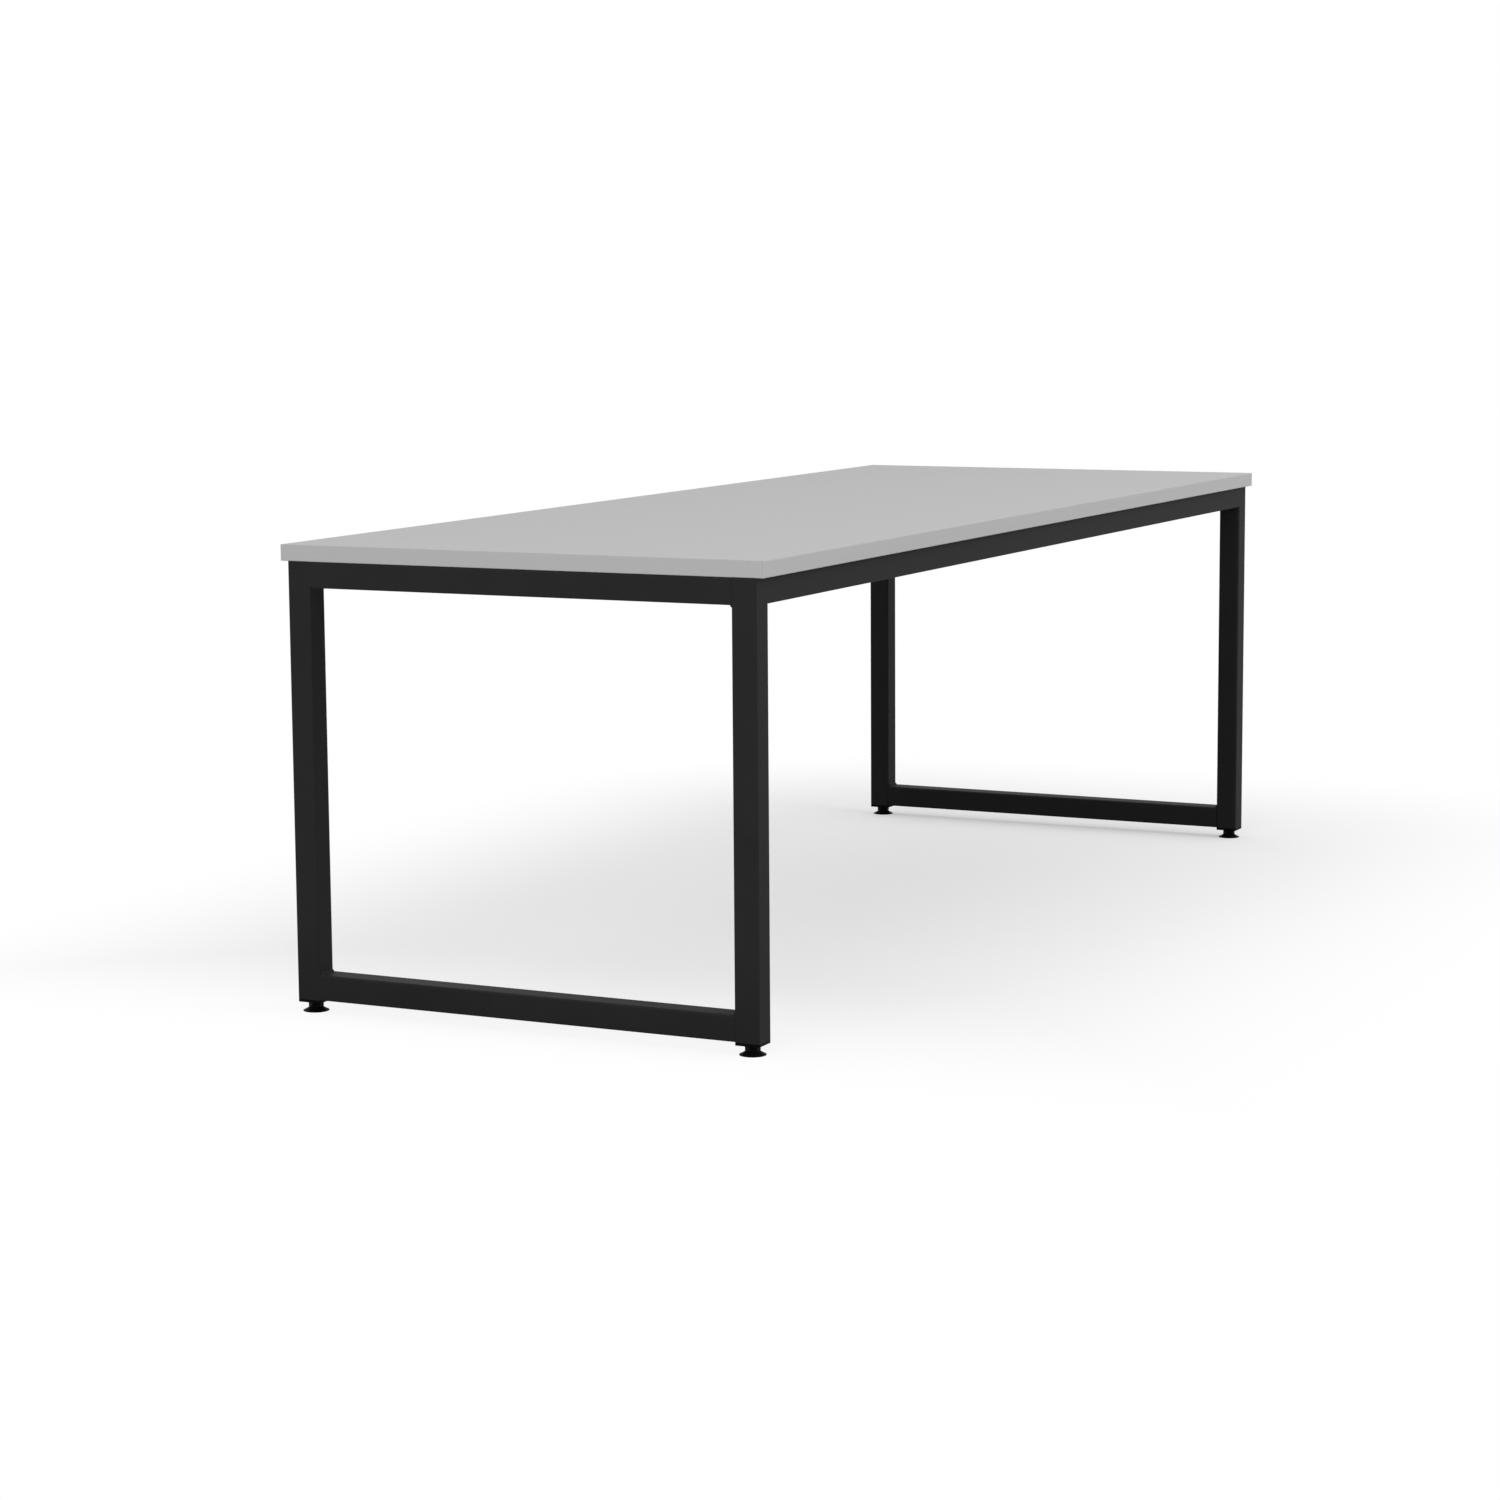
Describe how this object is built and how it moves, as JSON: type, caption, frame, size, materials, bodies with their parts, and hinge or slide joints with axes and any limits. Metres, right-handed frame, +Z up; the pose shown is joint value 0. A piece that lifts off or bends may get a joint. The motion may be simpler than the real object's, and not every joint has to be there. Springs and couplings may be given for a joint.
{
  "type": "dining table",
  "caption": "Long rectangular dining table: a melamine top on a welded black square-tube frame with closed end loops and screw-adjusted levelling feet.",
  "frame": {"origin": "on the floor, at the middle of the table's footprint, with the levelling feet screwed fully in", "axes": "+X along the length towards the far end, +Y across the width towards the left side, +Z up"},
  "size_m": [2.18, 0.815, 0.72],
  "materials": {
    "melamine_board": "light grey melamine-faced chipboard, satin with a fine pebbled texture",
    "edging": "light grey plastic edging, satin",
    "powder_coated_steel": "black powder coat, fine orange-peel texture, low sheen",
    "insert_plastic": "black moulded polyethylene, satin",
    "foot_plastic": "black moulded nylon, satin",
    "zinc_plated_steel": "bright zinc plate"
  },
  "bodies": {
    "table": {"top_board": "melamine_board", "edging_near": "edging", "edging_far": "edging", "edging_left": "edging", "edging_right": "edging", "post_near_left": "powder_coated_steel", "post_near_right": "powder_coated_steel", "post_far_left": "powder_coated_steel", "post_far_right": "powder_coated_steel", "end_rail_near": "powder_coated_steel", "end_rail_far": "powder_coated_steel", "foot_rail_near": "powder_coated_steel", "foot_rail_far": "powder_coated_steel", "side_rail_left": "powder_coated_steel", "side_rail_right": "powder_coated_steel", "frame_welds": "powder_coated_steel", "top_brackets_near": "powder_coated_steel", "top_brackets_far": "powder_coated_steel", "top_brackets_left": "powder_coated_steel", "top_brackets_right": "powder_coated_steel", "top_screws": "zinc_plated_steel", "insert_near_left": "insert_plastic", "insert_near_right": "insert_plastic", "insert_far_left": "insert_plastic", "insert_far_right": "insert_plastic", "insert_nuts": "zinc_plated_steel"},
    "foot_pad_near_left": {"pad_near_left": "foot_plastic"},
    "foot_screw_near_left": {"hub_near_left": "foot_plastic", "stud_near_left": "zinc_plated_steel"},
    "foot_pad_near_right": {"pad_near_right": "foot_plastic"},
    "foot_screw_near_right": {"hub_near_right": "foot_plastic", "stud_near_right": "zinc_plated_steel"},
    "foot_pad_far_left": {"pad_far_left": "foot_plastic"},
    "foot_screw_far_left": {"hub_far_left": "foot_plastic", "stud_far_left": "zinc_plated_steel"},
    "foot_pad_far_right": {"pad_far_right": "foot_plastic"},
    "foot_screw_far_right": {"hub_far_right": "foot_plastic", "stud_far_right": "zinc_plated_steel"}
  },
  "joints": [
    {"name": "foot_pad_near_left_lift", "type": "slide", "parent": "table", "child": "foot_pad_near_left", "axis": [0, 0, -1], "range_m": [0, 0.015]},
    {"name": "foot_screw_near_left_turn", "type": "hinge", "parent": "foot_pad_near_left", "child": "foot_screw_near_left", "pos_m": [-1.07, 0.375, 0.01], "axis": [0, 0, -1], "range_deg": [0, 3600]},
    {"name": "foot_pad_near_right_lift", "type": "slide", "parent": "table", "child": "foot_pad_near_right", "axis": [0, 0, -1], "range_m": [0, 0.015]},
    {"name": "foot_screw_near_right_turn", "type": "hinge", "parent": "foot_pad_near_right", "child": "foot_screw_near_right", "pos_m": [-1.07, -0.375, 0.01], "axis": [0, 0, -1], "range_deg": [0, 3600]},
    {"name": "foot_pad_far_left_lift", "type": "slide", "parent": "table", "child": "foot_pad_far_left", "axis": [0, 0, -1], "range_m": [0, 0.015]},
    {"name": "foot_screw_far_left_turn", "type": "hinge", "parent": "foot_pad_far_left", "child": "foot_screw_far_left", "pos_m": [1.07, 0.375, 0.01], "axis": [0, 0, -1], "range_deg": [0, 3600]},
    {"name": "foot_pad_far_right_lift", "type": "slide", "parent": "table", "child": "foot_pad_far_right", "axis": [0, 0, -1], "range_m": [0, 0.015]},
    {"name": "foot_screw_far_right_turn", "type": "hinge", "parent": "foot_pad_far_right", "child": "foot_screw_far_right", "pos_m": [1.07, -0.375, 0.01], "axis": [0, 0, -1], "range_deg": [0, 3600]}
  ],
  "couplings": [
    {"joint": "foot_screw_near_left_turn", "follows": "foot_pad_near_left_lift", "rad_per_m": 4188.8},
    {"joint": "foot_screw_near_right_turn", "follows": "foot_pad_near_right_lift", "rad_per_m": 4188.8},
    {"joint": "foot_screw_far_left_turn", "follows": "foot_pad_far_left_lift", "rad_per_m": 4188.8},
    {"joint": "foot_screw_far_right_turn", "follows": "foot_pad_far_right_lift", "rad_per_m": 4188.8}
  ]
}
